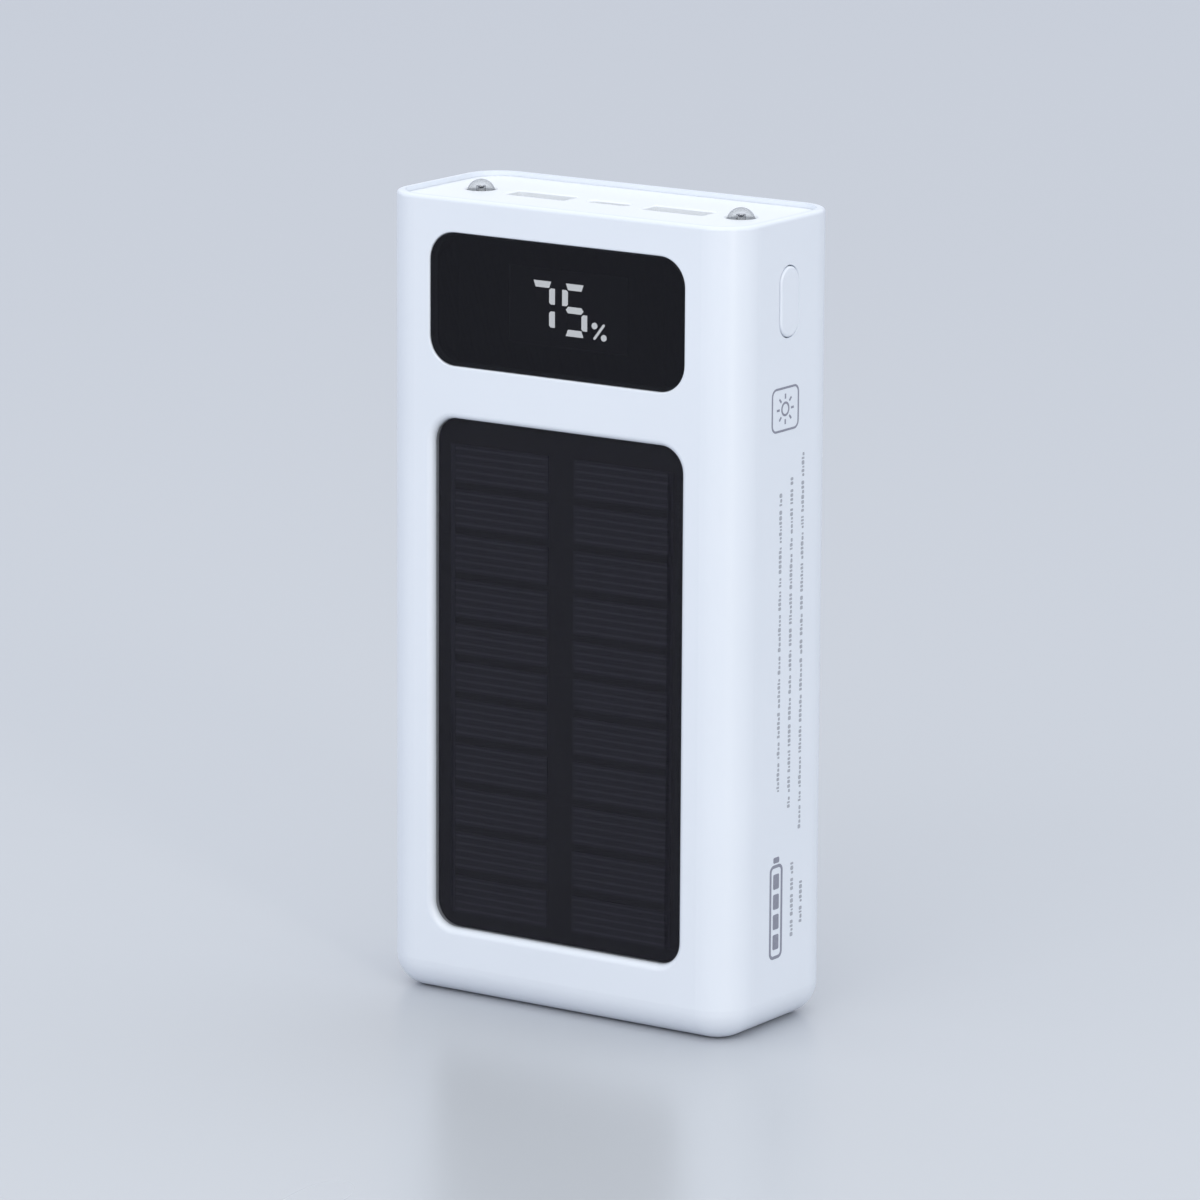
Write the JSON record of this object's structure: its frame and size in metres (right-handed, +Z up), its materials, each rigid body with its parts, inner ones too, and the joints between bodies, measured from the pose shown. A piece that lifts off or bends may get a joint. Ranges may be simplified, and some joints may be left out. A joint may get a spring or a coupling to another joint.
{
  "type": "solar phone charger",
  "caption": "Upright rectangular solar power bank with a display window, a recessed solar panel on its front, charging sockets and torch lamps on top and a side power button.",
  "frame": {"origin": "centre of the underside, where the charger stands on its short end", "axes": "+Z up the height towards the sockets, -Y out of the front with the display and the solar panel, +X to the right, towards the power button"},
  "size_m": [0.0727, 0.0322, 0.1408],
  "materials": {
    "case_white": "satin",
    "plate_white": "satin",
    "button_white": "satin",
    "window_black": "gloss",
    "black_tape": "matte",
    "module_black": "matte",
    "lit_segment": "glowing diffuser",
    "dark_segment": "matte",
    "board_green": "solder mask",
    "gold_contact": "gold plated",
    "solar_cover_clear": "clear over dark cells",
    "solar_cell_dark": "satin",
    "solar_ribbon": "tinned",
    "panel_black": "matte",
    "steel": "nickel plated",
    "lamp_clear": "clear epoxy",
    "reflector_silver": "bright",
    "chip_yellow": "phosphor",
    "tin_lead": "tinned",
    "insulator_white": "moulded",
    "insulator_black": "moulded",
    "switch_black": "moulded",
    "chip_black": "moulded",
    "ferrite_grey": "pressed ferrite",
    "capacitor_can": "bright",
    "passive_tan": "ceramic",
    "bracket_grey": "moulded",
    "screw_zinc": "zinc plated",
    "cell_foil": "laminated foil pouch",
    "nickel_tab": "nickel",
    "foam_tape": "adhesive sheet",
    "lead_red": "insulated wire",
    "lead_black": "insulated wire"
  },
  "bodies": {
    "charger": {"case_body": "case_white", "port_plate": "plate_white", "display_window": "window_black", "window_tape": "black_tape", "display_module": "module_black", "lit_segments": "lit_segment", "dark_segments": "dark_segment", "display_board": "board_green", "display_pins": "gold_contact", "solar_cover": "solar_cover_clear", "solar_cells": "solar_cell_dark", "solar_ribbons": "solar_ribbon", "solar_backboard": "panel_black", "solar_tape": "black_tape", "switch_body": "switch_black", "torch_lamp_left": "lamp_clear", "torch_lamp_right": "lamp_clear", "torch_reflectors": "reflector_silver", "torch_chips": "chip_yellow", "torch_leads": "tin_lead", "usb_a_shell_left": "steel", "usb_a_shell_right": "steel", "usb_a_tongue_left": "insulator_white", "usb_a_tongue_right": "insulator_white", "usb_a_contacts_left": "gold_contact", "usb_a_contacts_right": "gold_contact", "usb_c_shell": "steel", "usb_c_tongue": "insulator_black", "usb_c_contacts": "gold_contact", "usb_c_riser": "insulator_black", "main_board": "board_green", "power_inductors": "ferrite_grey", "controller_chip": "chip_black", "power_transistors": "chip_black", "polymer_capacitors": "capacitor_can", "chip_passives": "passive_tan", "board_bracket": "bracket_grey", "board_screws": "screw_zinc", "battery_cell_front": "cell_foil", "battery_cell_rear": "cell_foil", "cell_tabs": "nickel_tab", "cell_tapes": "foam_tape", "guard_board": "board_green", "guard_chips": "chip_black", "battery_lead_red": "lead_red", "battery_lead_black": "lead_black", "solar_lead_red": "lead_red", "solar_lead_black": "lead_black"},
    "power_button": {"power_button": "button_white", "switch_plunger": "insulator_white"}
  },
  "joints": [
    {"name": "button_press", "type": "slide", "parent": "charger", "child": "power_button", "axis": [-1, 0, 0], "range_m": [0, 0.0003], "stiffness_N_per_m": 2500, "springref_m": -0.0003}
  ]
}
